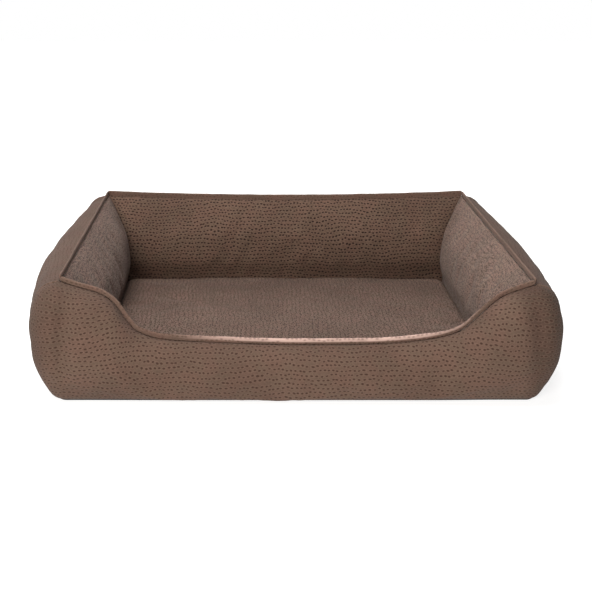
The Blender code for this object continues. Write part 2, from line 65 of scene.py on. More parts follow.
# Wall profiles: (level, distance from the rim seam)
OUTER_PROFILE = ((0.0, 0.0190), (0.03, 0.0285), (0.10, 0.0388), (0.22, 0.0512), (0.40, 0.0616),
                 (0.60, 0.0640), (0.80, 0.0541), (0.93, 0.0350), (1.0, 0.0018))
ENTRANCE_PROFILE = ((0.0, 0.0190), (0.03, 0.0275), (0.12, 0.0362), (0.40, 0.0420), (0.70, 0.0365),
                    (0.90, 0.0210), (1.0, 0.0018))
INNER_PROFILE = ((0.0, 0.0435), (0.12, 0.0437), (0.20, 0.0460), (0.38, 0.0560), (0.60, 0.0500),
                 (0.85, 0.0240), (1.0, 0.0018))
# How much further the side walls swell in their middle, by ring run; the skew moves that middle forwards
SIDE_SWELL = {2: 0.38, 6: 0.50}
SWELL_SKEW = 1.18
FRONT_CORNER_SCALE = (0.963, 0.884)
# Upright creases below the peaks: (x, lean, depth)
FRONT_CREASES = ((-0.424, 0.10, 0.0085), (0.432, -0.05, 0.0055))
# The low back wall stands straight behind the zip: distance from the rim, heights where that ends, and the
# opening (half length, low and high edge)
ZIP_RECESS = 0.0272
ZIP_RECESS_TOP = (0.036, 0.075)
COVER_ZIP_WINDOW = (0.372, 0.0095, 0.034)

# Cloth; the corner length is that of the wrapped panels' arcs
CELL = 0.0065
CORNER_LENGTH = 0.11
PANEL_THICKNESS = 0.0014
RIDGE_HEIGHT = 0.009
BACK_RIDGE_HEIGHT = 0.0105
ENTRANCE_RIDGE_HEIGHT = 0.0085
PEAK_RIDGE_HEIGHT = 0.0062
SEAM_GROOVE = 0.0035
RIDGE_HALF_THICKNESS = 0.0016
TUBE_SIDES = 8
PUCKER_PITCH = 0.016
PUCKER_REACH = 0.014

# Cushion
CUSHION_HALF_WIDTH = 0.3945
CUSHION_HALF_DEPTH = 0.2905
CUSHION_CORNER_RADIUS = 0.032
CUSHION_SEAM_Z = 0.0235
CUSHION_TOP = ((0.0, 0.0240), (0.0012, 0.0320), (0.0050, 0.0395), (0.0120, 0.0432), (0.030, 0.0452),
               (0.070, 0.0475), (0.14, 0.0497), (0.26, 0.0505))
CUSHION_UNDER = ((0.0, 0.0226), (0.0010, 0.0150), (0.0050, 0.0090), (0.0130, 0.0058), (0.030, 0.0050),
                 (0.26, 0.0050))

CUSHION_ZIP_HALF = 0.332
CUSHION_ZIP_OPENING = (0.0170, 0.0300)
LINER_SHRINK = 0.0125
LINER_TOP = ((0.0, 0.0235), (0.0012, 0.0300), (0.0050, 0.0365), (0.0120, 0.0403), (0.030, 0.0424),
             (0.070, 0.0447), (0.14, 0.0469), (0.26, 0.0477))
LINER_UNDER = ((0.0, 0.0235), (0.0010, 0.0170), (0.0050, 0.0115), (0.0130, 0.0080), (0.030, 0.0070),
               (0.26, 0.0068))

SIDES = ("front", "right", "back", "left")
CORNERS = ("front_right", "back_right", "back_left", "front_left")


# ---------------------------------------------------------------- curves and fields

def smooth_curve(points, x):
    """Monotone cubic curve through (x, y) points, at every x of an array."""
    xs = np.array([p[0] for p in points], float)
    ys = np.array([p[1] for p in points], float)
    width = np.diff(xs)
    slope = np.diff(ys) / width
    tangent = np.zeros(len(xs))
    tangent[0], tangent[-1] = slope[0], slope[-1]
    for i in range(1, len(xs) - 1):
        if slope[i - 1] * slope[i] > 0:
            before, after = width[i - 1], width[i]
            w0, w1 = 2 * after + before, after + 2 * before
            tangent[i] = (w0 + w1) / (w0 / slope[i - 1] + w1 / slope[i])
    x = np.clip(np.asarray(x, float), xs[0], xs[-1])
    i = np.clip(np.searchsorted(xs, x) - 1, 0, len(width) - 1)
    t = (x - xs[i]) / width[i]
    return ((1 + 2 * t) * (1 - t) ** 2 * ys[i] + t * (1 - t) ** 2 * width[i] * tangent[i]
            + t * t * (3 - 2 * t) * ys[i + 1] + t * t * (t - 1) * width[i] * tangent[i + 1])


def smooth_step(low, high, x):
    t = np.clip((x - low) / (high - low), 0.0, 1.0)
    return t * t * (3 - 2 * t)


def noise_field(points, scale, seed):
    """Smooth noise from -1 to 1 at every point of an array (..., 3)."""
    flat = points.reshape(-1, 3) * scale + seed
    values = [noise.noise(Vector(p)) for p in flat]
    return np.array(values).reshape(points.shape[:-1])


def grid_normals(points):
    """Unit normals of a grid of points, on the side that the columns turn anticlockwise about."""
    across = np.gradient(points, axis=0)
    up = np.gradient(points, axis=1)
    normals = np.cross(across, up)
    return normals / np.maximum(np.linalg.norm(normals, axis=2, keepdims=True), 1e-9)


def path_length(points, axis):
    steps = np.linalg.norm(np.diff(points, axis=axis), axis=2)
    zero = np.zeros_like(np.take(steps, [0], axis=axis))
    return np.cumsum(np.concatenate([zero, steps], axis=axis), axis=axis)


# ---------------------------------------------------------------- the ring

def ring_xy(u, n):
    """Plan position at ring parameter u, n outside the rim seam (arrays of the same shape)."""
    radius = np.maximum(n, 0.0)
    half_x = RIM_HALF_WIDTH + n - radius
    half_y = RIM_HALF_DEPTH + n - radius
    run = np.floor(u).astype(int) % 8
    t = u - np.floor(u)
    side = run // 2
    sign_x = np.array([1, 1, -1, -1])
    sign_y = np.array([-1, 1, 1, -1])
    end_x, end_y = sign_x[side] * half_x, sign_y[side] * half_y
    start_x, start_y = sign_x[side - 1] * half_x, sign_y[side - 1] * half_y
    on_arc = run % 2 == 1
    angle = np.where(on_arc, (side - 1 + t) * pi / 2, (side - 1) * pi / 2)
    x = np.where(on_arc, end_x, start_x + (end_x - start_x) * t) + radius * np.cos(angle)
    y = np.where(on_arc, end_y, start_y + (end_y - start_y) * t) + radius * np.sin(angle)
    return x, y


def seam_height(u):
    """Height of the rim seam at ring parameter u."""
    x, y = ring_xy(u, np.zeros_like(u))
    front = smooth_curve(ENTRANCE_LINE, x)
    back = BACK_CORNER_HEIGHT - BACK_MIDDLE_DROP * np.maximum(1 - (x / RIM_HALF_WIDTH) ** 2, 0.0)
    peak = np.where(x < 0, FRONT_PEAK_HEIGHTS[0], FRONT_PEAK_HEIGHTS[1])
    along = np.clip((y + RIM_HALF_DEPTH) / (2 * RIM_HALF_DEPTH), 0, 1)
    side = peak + (BACK_CORNER_HEIGHT - peak) * along
    height = np.where(y < -RIM_HALF_DEPTH + 1e-4, front, side)
    return np.where(y > RIM_HALF_DEPTH - 1e-4, back, height)


def outer_distance(u, level):
    """How far the outside of the wall stands out at u and level."""
    x, y = ring_xy(u, np.zeros_like(u))
    run = np.floor(u).astype(int) % 8
    t = u - np.floor(u)
    full = smooth_curve(OUTER_PROFILE, level)
    corner = np.where(x < 0, FRONT_CORNER_SCALE[0], FRONT_CORNER_SCALE[1])
    frontness = smooth_step(0.55, -1.0, y / RIM_HALF_DEPTH)
    full = full * (1 + (corner - 1) * frontness)
    for side_run, swell in SIDE_SWELL.items():
        from_back = t if side_run == 6 else 1 - t
        full = full * np.where(run == side_run, 1 + swell * np.sin(pi * from_back ** SWELL_SKEW), 1.0)
    middle = 1 - smooth_step(0.25, 0.40, np.abs(x))
    entrance = smooth_curve(ENTRANCE_PROFILE, level)
    return np.where(run == 0, full + (entrance - full) * middle, full)


def wall_points(u, level, n):
    x, y = ring_xy(u, n)
    z = FOOT_Z + level * (seam_height(u) - FOOT_Z) - SEAM_GROOVE * smooth_step(0.962, 1.0, level)
    return np.stack([x * (1 + WIDTH_TAPER * y), y, z], axis=-1)


def side_length(side):
    return 2 * (RIM_HALF_WIDTH if side in (0, 2) else RIM_HALF_DEPTH)


def within_run(t):
    """Keep 0 to 1 just inside a straight run, clear of the arcs at its ends."""
    return t * (1 - 2e-6) + 1e-6


def ring_stations(pieces):
    """Ring parameters over several runs or arcs, given as (start, end, length)."""
    stations = []
    for start, end, length in pieces:
        stations.extend(np.linspace(start, end, max(round(length / CELL), 4) + 1)[:-1])
    stations.append(pieces[-1][1])
    return np.array(stations)


def even_levels(profile, height):
    """Levels evenly spaced along the profile's line, the first at the foot and the last at the seam."""
    fine = np.linspace(0, 1, 400)
    line_n = smooth_curve(profile, fine)
    steps = np.hypot(np.diff(line_n), np.diff(fine) * height)
    length = np.concatenate([[0], np.cumsum(steps)])
    count = max(round(length[-1] / CELL), 6)
    levels = np.interp(np.linspace(0, length[-1], count + 1), length, fine)
    return np.concatenate([levels[levels < 0.955], [0.962, 0.974, 0.986, 1.0]])


# ---------------------------------------------------------------- materials

def node(tree, kind, inputs=None, **settings):
    """Add a shader node. An input's value is a number, a tuple or another node's socket."""
    made = tree.nodes.new(kind)
    for key, value in settings.items():
        setattr(made, key, value)
    for key, value in (inputs or {}).items():
        socket = made.inputs[key]
        if isinstance(value, bpy.types.NodeSocket):
            tree.links.new(value, socket)
        else:
            socket.default_value = value
    return made


def maths(tree, operation, a, b=0.0):
    return node(tree, "ShaderNodeMath", {0: a, 1: b}, operation=operation).outputs[0]


def plus(tree, a, b):
    return maths(tree, "ADD", a, b)


def minus(tree, a, b):
    return maths(tree, "SUBTRACT", a, b)


def times(tree, a, b):
    return maths(tree, "MULTIPLY", a, b)


def spread(tree, value, amount):
    """Turn 0 to 1 into half the amount below zero to half of it above."""
    return times(tree, minus(tree, value, 0.5), amount)


def noise_texture(tree, vector, scale, detail, distortion=0.0, output="Fac"):
    inputs = {"Vector": vector, "Scale": scale, "Detail": detail, "Distortion": distortion}
    return node(tree, "ShaderNodeTexNoise", inputs).outputs[output]


def cell_distance(tree, vector, scale, randomness=1.0):
    """Distance from the middle of each cell of a cell pattern."""
    inputs = {"Vector": vector, "Scale": scale, "Randomness": randomness}
    return node(tree, "ShaderNodeTexVoronoi", inputs).outputs["Distance"]


def pattern_socket(tree):
    return node(tree, "ShaderNodeUVMap", uv_map="pattern").outputs[0]


def object_socket(tree):
    return node(tree, "ShaderNodeTexCoord").outputs["Object"]


def axes(tree, vector):
    return node(tree, "ShaderNodeSeparateXYZ", {0: vector}).outputs


def channels(tree, colour):
    return node(tree, "ShaderNodeSeparateColor", {0: colour}).outputs


def mix_colour(tree, factor, a, b):
    return node(tree, "ShaderNodeMix", {"Factor": factor, 6: a, 7: b}, data_type="RGBA").outputs[2]


def scaled(colour, factor):
    """The colour made lighter or darker, at most white."""
    return tuple(min(c * factor, 1.0) for c in colour[:3]) + (1.0,)


def finish_shader(tree, shader, colour, height, strength, depth):
    """Link a base colour and a bump of that depth."""
    tree.links.new(colour, shader.inputs["Base Color"])
    relief = node(tree, "ShaderNodeBump", {"Height": height, "Strength": strength, "Distance": depth})
    tree.links.new(relief.outputs[0], shader.inputs["Normal"])


def rise(tree, value, low, high):
    """0 below low, 1 above high and smooth between; low may be above high."""
    ranged = node(tree, "ShaderNodeMapRange", {0: value, 1: low, 2: high, 3: 0.0, 4: 1.0},
                  interpolation_type="SMOOTHSTEP")
    return ranged.outputs[0]


def rgb(r, g, b):
    """Linear colour, with alpha, of an 8-bit sRGB colour."""
    linear = []
    for value in (r, g, b):
        share = value / 255
        linear.append(share / 12.92 if share <= 0.04045 else ((share + 0.055) / 1.055) ** 2.4)
    return (*linear, 1.0)


def new_material(name, roughness, metallic=0.0):
    material = bpy.data.materials.new(name)
    material.use_nodes = True
    shader = material.node_tree.nodes["Principled BSDF"]
    shader.inputs["Roughness"].default_value = roughness
    shader.inputs["Metallic"].default_value = metallic
    return material, material.node_tree, shader


BLACK = (0.0, 0.0, 0.0, 1.0)
WHITE = (1.0, 1.0, 1.0, 1.0)
ROW_PITCH = 0.0092
DOT_PITCH = 0.0084
DOT_HALF = (0.00265, 0.00180)
GRIP_PITCH = 0.012


def dot_rows(tree, pattern, scale=1.0):
    """Mask of small dark dots in wavy rows that run together and apart; pattern is a socket in metres."""
    wave = channels(tree, noise_texture(tree, pattern, 7.0, 1.0, output="Color"))
    ripple = channels(tree, noise_texture(tree, pattern, 20.0, 0.0, output="Color"))
    place = axes(tree, pattern)
    up = plus(tree, place[1], spread(tree, wave[0], 0.024))
    up = plus(tree, up, spread(tree, ripple[1], 0.010))
    row = maths(tree, "DIVIDE", up, ROW_PITCH)
    row_number = maths(tree, "FLOOR", row)
    in_row = minus(tree, maths(tree, "FRACT", row), 0.5)
    row_noise = node(tree, "ShaderNodeTexWhiteNoise", {"W": row_number}, noise_dimensions="1D")
    start = plus(tree, times(tree, row_number, 0.5), times(tree, row_noise.outputs["Value"], 0.3))
    along = plus(tree, place[0], spread(tree, ripple[0], 0.009))
    along = plus(tree, maths(tree, "DIVIDE", along, DOT_PITCH), start)
    cell_number = maths(tree, "FLOOR", along)
    in_cell = minus(tree, maths(tree, "FRACT", along), 0.5)
    cell = node(tree, "ShaderNodeCombineXYZ", {0: cell_number, 1: row_number, 2: 0.5})
    random = node(tree, "ShaderNodeTexWhiteNoise", {"Vector": cell.outputs[0]}, noise_dimensions="3D")
    shift_x, shift_y, chance = channels(tree, random.outputs["Color"])
    dx = minus(tree, in_cell, spread(tree, shift_x, 0.30))
    dx = times(tree, dx, DOT_PITCH / DOT_HALF[0])
    dy = minus(tree, in_row, spread(tree, shift_y, 0.40))
    dy = times(tree, dy, ROW_PITCH / DOT_HALF[1])
    dy = plus(tree, dy, times(tree, dx, spread(tree, chance, 0.5)))
    squared = plus(tree, times(tree, dx, dx), times(tree, dy, dy))
    size = plus(tree, times(tree, chance, 0.24), 0.84)
    distance = maths(tree, "DIVIDE", maths(tree, "SQRT", squared), times(tree, size, scale))
    mask = rise(tree, distance, 1.30, 0.60)
    # rim is a ring round each dot, which the fabric paints lighter: a painted highlight on the edge of the
    # sunk dot.
    rim = times(tree, rise(tree, distance, 2.2, 1.4), minus(tree, 1.0, mask))
    return mask, rim


def fabric_material(name, ground, dot, dots=1.0, bump=0.5, dot_scale=1.0, sheen=0.03, grain=0.25,
                    painted_crown_highlight=None, painted_corner_shade=None):
    """Matt upholstery fabric: mottled ground, small sunk dark dots, a fine woven surface and a short nap.

    grain is the strength of the fine wrinkles pressed into the fabric. The argument for the crown highlight
    is (colour, start, end): along that stretch of a seam's pattern its crown is painted paler, a painted
    highlight where the light falls on its top. The argument for the corner shade is (left, right): how much
    painted shade darkens the far ends of the pattern, where the panel turns its corners away from the light.
    """
    material, tree, shader = new_material(name, 0.90)
    pattern = pattern_socket(tree)
    mottle = noise_texture(tree, pattern, 26.0, 3.0)
    patch = noise_texture(tree, pattern, 7.0, 2.0)
    weave = cell_distance(tree, pattern, 900.0, 0.75)
    nap = noise_texture(tree, pattern, 380.0, 3.0)
    wrinkles = noise_texture(tree, pattern, 230.0, 1.0, distortion=0.8)
    pinkish = tuple(c * f for c, f in zip(ground, (1.05, 0.99, 0.985, 1.0)))
    olive = tuple(c * f for c, f in zip(ground, (0.96, 1.01, 0.98, 1.0)))
    colour = mix_colour(tree, rise(tree, mottle, 0.36, 0.64), olive, pinkish)
    colour = mix_colour(tree, times(tree, rise(tree, patch, 0.30, 0.70), 0.22), colour, BLACK)
    fibre = times(tree, rise(tree, nap, 0.35, 0.70), 0.16)
    colour = mix_colour(tree, fibre, colour, scaled(ground, 1.55))
    height = plus(tree, times(tree, weave, 0.10), times(tree, nap, 0.16))
    pits = rise(tree, wrinkles, 0.53, 0.37)
    colour = mix_colour(tree, times(tree, pits, 0.80 * grain), colour, dot)
    height = minus(tree, height, times(tree, pits, 0.7 * grain))
    along, up, _ = axes(tree, pattern)
    # Painted highlight: along a stretch of the seam, its crown is painted paler where the light falls on its
    # top.
    if painted_crown_highlight:
        paler, start, end = painted_crown_highlight
        stretch = times(tree, rise(tree, along, start, start + 0.20), rise(tree, along, end, end - 0.20))
        crown = times(tree, rise(tree, up, 0.0062, 0.0098), rise(tree, mottle, 0.05, 0.50))
        colour = mix_colour(tree, times(tree, stretch, crown), colour, paler)
    # Painted shade: the two far ends of the pattern, where the panel turns its corners away from the light,
    # are darkened towards black.
    if painted_corner_shade:
        left = times(tree, rise(tree, along, -0.44, -0.49), painted_corner_shade[0])
        right = times(tree, rise(tree, along, 0.405, 0.445), painted_corner_shade[1])
        colour = mix_colour(tree, plus(tree, left, right), colour, BLACK)
    mask, rim = dot_rows(tree, pattern, dot_scale)
    # Painted highlight: the ring round each dot is painted lighter than the ground.
    colour = mix_colour(tree, times(tree, rim, 0.30 * dots), colour, scaled(ground, 1.45))
    colour = mix_colour(tree, times(tree, mask, dots), colour, dot)
    height = minus(tree, height, times(tree, mask, 0.80 * dots))
    finish_shader(tree, shader, colour, height, bump, 0.0011)
    shader.inputs["Sheen Weight"].default_value = sheen
    shader.inputs["Sheen Roughness"].default_value = 0.55
    shader.inputs["Sheen Tint"].default_value = (1.0, 0.93, 0.88, 1.0)
    shader.inputs["Specular IOR Level"].default_value = 0.12
    return material


def plain_weave_material(name, ground, scale=1400.0, roughness=0.9):
    """Plain woven cloth from object coordinates, for tapes, casings, linings and the label."""
    material, tree, shader = new_material(name, roughness)
    place = object_socket(tree)
    warp, weft = [node(tree, "ShaderNodeTexWave", {"Vector": place, "Scale": scale / 6.3, "Distortion": 1.2},
                       wave_type="BANDS", bands_direction=direction).outputs["Fac"] for direction in "XZ"]
    patch = rise(tree, noise_texture(tree, place, 22.0, 3.0), 0.35, 0.68)
    height = times(tree, warp, weft)
    colour = mix_colour(tree, patch, ground, scaled(ground, 0.72))
    colour = mix_colour(tree, times(tree, height, 0.25), colour, scaled(ground, 1.3))
    finish_shader(tree, shader, colour, height, 0.4, 0.0004)
    shader.inputs["Sheen Weight"].default_value = 0.10
    shader.inputs["Specular IOR Level"].default_value = 0.2
    return material


def grip_material(name, ground, grip):
    """Dark cloth with small raised rubber dots in straight rows."""
    material, tree, shader = new_material(name, 0.9)
    pattern = pattern_socket(tree)
    mask = rise(tree, cell_distance(tree, pattern, 1 / GRIP_PITCH, 0.0), 0.17, 0.13)
    height = plus(tree, mask, times(tree, cell_distance(tree, pattern, 700.0, 0.6), 0.3))
    finish_shader(tree, shader, mix_colour(tree, mask, ground, grip), height, 0.6, 0.0006)
    shader.inputs["Specular IOR Level"].default_value = 0.3
    return material


def fleece_material(name, ground, scale):
    """Fibre filling or open foam: small soft pores."""
    material, tree, shader = new_material(name, 1.0)
    place = object_socket(tree)
    tuft = rise(tree, noise_texture(tree, place, scale / 4, 5.0), 0.3, 0.7)
    colour = mix_colour(tree, tuft, ground, scaled(ground, 0.8))
    finish_shader(tree, shader, colour, cell_distance(tree, place, scale), 0.7, 0.002)
    return material


def metal_material(name, ground, roughness):
    """Nickel-plated zip metal with small scuffs and brushed roughness."""
    material, tree, shader = new_material(name, roughness, 1.0)
    place = object_socket(tree)
    scuff = noise_texture(tree, place, 900.0, 4.0)
    colour = mix_colour(tree, rise(tree, scuff, 0.45, 0.75), ground, scaled(ground, 0.75))
    tree.links.new(colour, shader.inputs["Base Color"])
    rough = plus(tree, times(tree, scuff, 0.25), roughness - 0.12)
    tree.links.new(rough, shader.inputs["Roughness"])
    return material


GROUND = rgb(88, 69, 59)
DOT = rgb(58, 41, 33)
# The seams' ground is lighter than the cover's: painted light on the raised ridges and welts, which catch the
# light from above.
SEAM_GROUND = rgb(100, 79, 69)
# Darker dots for the well's pieces: partly the dots' own colour, partly painted shade in the sunk dots seen
# at a glancing angle.
DEEP_DOT = rgb(30, 20, 16)
FABRIC = fabric_material("cover_fabric", GROUND, DOT, bump=0.7)
# The well's pieces are copies of the cover fabric with lighter grounds, painted light: the cushion and the
# side walls, which face the light, much lighter, the back wall a little.
WELL_FABRIC = fabric_material("well_fabric", rgb(102, 82, 72), DEEP_DOT, dots=0.85, bump=1.2, dot_scale=0.98,
                              grain=0.9)
SIDE_FABRIC = fabric_material("well_side_fabric", rgb(111, 90, 80), DEEP_DOT, dots=0.60, bump=1.1,
                              dot_scale=0.92, sheen=0.06, grain=0.9)
BACK_FABRIC = fabric_material("well_back_fabric", rgb(91, 71, 60), DEEP_DOT, dots=0.9, bump=1.0,
                              dot_scale=1.12, grain=0.35)
SEAM_FABRIC = fabric_material("seam_fabric", SEAM_GROUND, DOT, dots=0.5, bump=0.5, sheen=0.04)
# The entrance seam's middle stretch has a painted highlight along its crown.
ENTRANCE_SEAM_FABRIC = fabric_material("entrance_seam_fabric", SEAM_GROUND, DOT, dots=0.45, bump=0.5,
                                       sheen=0.06, painted_crown_highlight=(rgb(180, 152, 141), 0.22, 0.86))
# The front panel has painted shade at both far ends, where it turns its corners.
FRONT_FABRIC = fabric_material("front_fabric", GROUND, DOT, bump=0.7, painted_corner_shade=(0.22, 0.34))
# A darker copy of the cover fabric for the outer side panels: painted shade on the flanks, which turn away
# from the light.
FLANK_FABRIC_PAINTED_SHADE = fabric_material("flank_fabric_painted_shade", rgb(82, 64, 55), DOT, bump=0.7)
LINING = plain_weave_material("lining_fabric", rgb(58, 47, 41))
BASE = grip_material("base_fabric", rgb(44, 41, 40), rgb(78, 76, 74))
CASING = plain_weave_material("casing_fabric", rgb(206, 202, 194))
TAPE = plain_weave_material("zip_tape", rgb(70, 55, 47), scale=2200.0)
LABEL = plain_weave_material("label_fabric", rgb(214, 208, 198), scale=2600.0)
COIL = plain_weave_material("zip_coil", rgb(52, 42, 37), scale=3000.0, roughness=0.45)
FILLING = fleece_material("filling", rgb(228, 226, 220), 260.0)
FOAM = fleece_material("foam", rgb(222, 214, 186), 520.0)
METAL = metal_material("zip_metal", rgb(188, 184, 178), 0.34)


# ---------------------------------------------------------------- making pieces

def link(obj):
    bpy.context.scene.collection.objects.link(obj)
    return obj


def register(obj, body, cad_node):
    """Let the object ride on a body and stand for a CAD node, which is hidden."""
    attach(obj, body)
    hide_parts(cad_node)


def thicken(obj, thickness, offset=-1.0):
    solid = obj.modifiers.new("Thickness", "SOLIDIFY")
    solid.thickness = thickness
    solid.offset = offset


@contextmanager
def editing(obj):
    """The object's mesh as a bmesh, which is written back at the end."""
    mesh_data = bmesh.new()
    mesh_data.from_mesh(obj.data)
    yield mesh_data
    mesh_data.to_mesh(obj.data)
    mesh_data.free()


def fix_normals(obj):
    with editing(obj) as mesh_data:
        bmesh.ops.recalc_face_normals(mesh_data, faces=mesh_data.faces)


def mesh_object(name, verts, faces, material, uvs=None):
    """Object from vertex and face lists; uvs holds one pattern position for each vertex."""
    mesh = bpy.data.meshes.new(name)
    mesh.from_pydata([tuple(v) for v in verts], [], [tuple(int(i) for i in f) for f in faces])
    if uvs is not None:
        layer = mesh.uv_layers.new(name="pattern")
        corners = np.zeros(len(mesh.loops), int)
        mesh.loops.foreach_get("vertex_index", corners)
        layer.data.foreach_set("uv", np.asarray(uvs, float)[corners].ravel())
    mesh.materials.append(material)
    mesh.shade_smooth()
    return link(bpy.data.objects.new(name, mesh))


def grid_faces(cols, rows):
    index = np.arange(cols * rows).reshape(cols, rows)
    return np.stack([index[:-1, :-1], index[1:, :-1], index[1:, 1:], index[:-1, 1:]], -1).reshape(-1, 4)


def grid_object(name, points, uvs, material, window=None):
    """Object from a grid of points; window gives the columns and rows between which an opening is left."""
    cols, rows = points.shape[:2]
    faces = grid_faces(cols, rows)
    if window:
        (left, right), (low, high) = window
        col, row = np.divmod(faces[:, 0], rows)
        faces = faces[~((col >= left) & (col < right) & (row >= low) & (row < high))]
    return mesh_object(name, points.reshape(-1, 3), faces, material, uvs.reshape(-1, 2))


def border(cols, rows):
    """Vertex numbers along the four edges of a grid."""
    index = np.arange(cols * rows).reshape(cols, rows)
    edges = np.concatenate([index[0], index[-1], index[:, 0], index[:, -1]])
    return np.unique(edges).tolist()


def wall_pattern(points):
    """Flat pattern of a wall panel: along its middle row from its centre, and up from its foot."""
    along = path_length(points, 0)
    along = along - along[len(along) // 2][None, :]
    up = path_length(points, 1)
    return np.stack([along, up], axis=-1)


def unit(vectors):
    return vectors / np.maximum(np.linalg.norm(vectors, axis=1, keepdims=True), 1e-9)


def tube(name, path, radius, material):
    """Round cord along a path of points, with its pattern along and round it."""
    path = np.asarray(path, float)
    tangent = unit(np.gradient(path, axis=0))
    reference = np.where(np.abs(tangent[:, 2:3]) > 0.9, [[1.0, 0.0, 0.0]], [[0.0, 0.0, 1.0]])
    side = unit(np.cross(tangent, reference))
    up = np.cross(side, tangent)
    radius = np.broadcast_to(np.asarray(radius, float), (len(path),))
    sides = TUBE_SIDES
    angles = np.linspace(0, 2 * pi, sides, endpoint=False)
    ring = side[:, None] * np.cos(angles)[:, None] + up[:, None] * np.sin(angles)[:, None]
    points = path[:, None] + ring * radius[:, None, None]
    along = np.broadcast_to(path_length(path[:, None], 0), (len(path), sides))
    uvs = np.stack([along, angles * radius[:, None]], axis=-1)
    faces = []
    for start in range(0, (len(path) - 1) * sides, sides):
        for k in range(sides):
            m = (k + 1) % sides
            faces.append((start + k, start + m, start + sides + m, start + sides + k))
    faces.append(tuple(range(sides))[::-1])
    faces.append(tuple(range((len(path) - 1) * sides, len(path) * sides)))
    return mesh_object(name, points.reshape(-1, 3), faces, material, uvs.reshape(-1, 2))


def puckers(along, distance, seed, depth):
    """Small gathers next to a seam: along runs beside it and distance away from it."""
    rows = np.stack([along / 0.05, distance * 0 + seed, distance / 0.05], axis=-1)
    shift = noise_field(rows, 1.0, seed)
    strength = 0.5 + 0.9 * noise_field(rows, 0.45, seed + 9.1)
    wave = np.sin(2 * pi * along / PUCKER_PITCH + 7 * shift)
    beside = np.exp(-distance / PUCKER_REACH) * (1 - np.exp(-distance / 0.002))
    return depth * wave * np.clip(strength, 0, 1.4) * beside


def add_fabric_form(points, seed, lump=0.0022, loose=1.0):
    """Push a panel in and out by soft lumps and seam gathers.

    Its edges stay where they are, and so does what is not loose (0 to 1, one number or one for each point).
    """
    along = path_length(points, 0)
    up = path_length(points, 1)
    to_top = up[:, -1:] - up
    to_end = np.minimum(along, along[-1:, :] - along)
    inside = 1 - np.exp(-np.minimum(np.minimum(up, to_top), to_end) / 0.012)
    amount = lump * (noise_field(points, 8.0, seed) + 0.35) * inside
    amount += 0.0007 * noise_field(points, 26.0, seed + 3.3) * inside
    amount += puckers(along, to_top, seed + 1.7, 0.0007)
    amount += puckers(along, up, seed + 5.9, 0.0005)
    amount += puckers(up, to_end, seed + 8.2, 0.0005)
    return points + grid_normals(points) * (amount * loose)[..., None]


# ---------------------------------------------------------------- cloth simulation

# Panels as (object, pinned points, pressure, growth of the fabric, furthest that a point moves)
PANELS = []
INWARD_LIMIT = 0.0003
SIMULATED_FRAMES = 18
CLOTH = {"quality": 5, "mass": 0.25, "tension_stiffness": 20, "compression_stiffness": 12,
         "shear_stiffness": 8, "bending_stiffness": 1.2, "air_damping": 3}


def run_simulation():
    """Let the panels find their folds together, apply the cloth, and hold each point near its start.

    A point hardly moves inwards, so that no panel sinks into the filled casing behind it.
    """
    scene = bpy.context.scene
    scene.frame_start, scene.frame_end = 1, SIMULATED_FRAMES
    starts = []
    for obj, pinned, pressure, growth, _ in PANELS:
        vertices = obj.data.vertices
        starts.append((np.array([v.co for v in vertices]), np.array([v.normal for v in vertices])))
        obj.vertex_groups.new(name="pinned").add(pinned, 1.0, "REPLACE")
        cloth = obj.modifiers.new("Cloth", "CLOTH")
        settings = cloth.settings
        for key, value in CLOTH.items():
            setattr(settings, key, value)
        settings.vertex_group_mass = "pinned"
        settings.use_pressure = True
        settings.uniform_pressure_force = pressure
        settings.shrink_min = settings.shrink_max = -growth
        settings.effector_weights.gravity = 0
        cloth.collision_settings.use_collision = False
        cloth.point_cache.frame_start = 1
        cloth.point_cache.frame_end = SIMULATED_FRAMES
    for number in range(1, SIMULATED_FRAMES + 1):
        scene.frame_set(number)
    for (obj, _, _, _, furthest), (start, normals) in zip(PANELS, starts):
        with bpy.context.temp_override(object=obj, active_object=obj):
            bpy.ops.object.modifier_apply(modifier="Cloth")
        step = np.array([v.co for v in obj.data.vertices]) - start
        inward = np.minimum((step * normals).sum(axis=1, keepdims=True) + INWARD_LIMIT, 0)
        step -= inward * normals
        length = np.linalg.norm(step, axis=1, keepdims=True)
        moved = start + step * furthest * np.tanh(length / furthest) / np.maximum(length, 1e-9)
        obj.data.vertices.foreach_set("co", moved.ravel())
        obj.vertex_groups.clear()
        obj.data.update()
    scene.frame_set(1)


def finish_panels():
    """Round the panels off and give them thickness, after the simulation."""
    for obj, *_ in PANELS:
        smooth = obj.modifiers.new("Smooth", "SUBSURF")
        smooth.levels = smooth.render_levels = 1
        smooth.boundary_smooth = "PRESERVE_CORNERS"
        thicken(obj, PANEL_THICKNESS)


# ---------------------------------------------------------------- wall panels

def outer_panel_points(side):
    """Outer panels: front and back go round both their corners, the sides lie between."""
    start = 2 * side
    runs = [(start + 8, start + 9, side_length(side))]
    if side in (0, 2):
        runs = [(start + 7, start + 8, CORNER_LENGTH), *runs, (start + 9, start + 10, CORNER_LENGTH)]
    stations = ring_stations(runs) % 8
    stations[-1] = stations[-1] - 1e-6 if side in (1, 3) else (start + 2) % 8 - 1e-6
    levels = even_levels(OUTER_PROFILE, BACK_CORNER_HEIGHT)
    u, level = np.meshgrid(stations, levels, indexing="ij")
    n = outer_distance(u, level)
    if side == 2:
        z = FOOT_Z + level * (seam_height(u) - FOOT_Z)
        x = ring_xy(u, n)[0]
        low = smooth_step(ZIP_RECESS_TOP[1], ZIP_RECESS_TOP[0], z) * smooth_step(0.425, 0.385, np.abs(x))
        n = n + (np.minimum(n, ZIP_RECESS) - n) * low
    return wall_points(u, level, n)


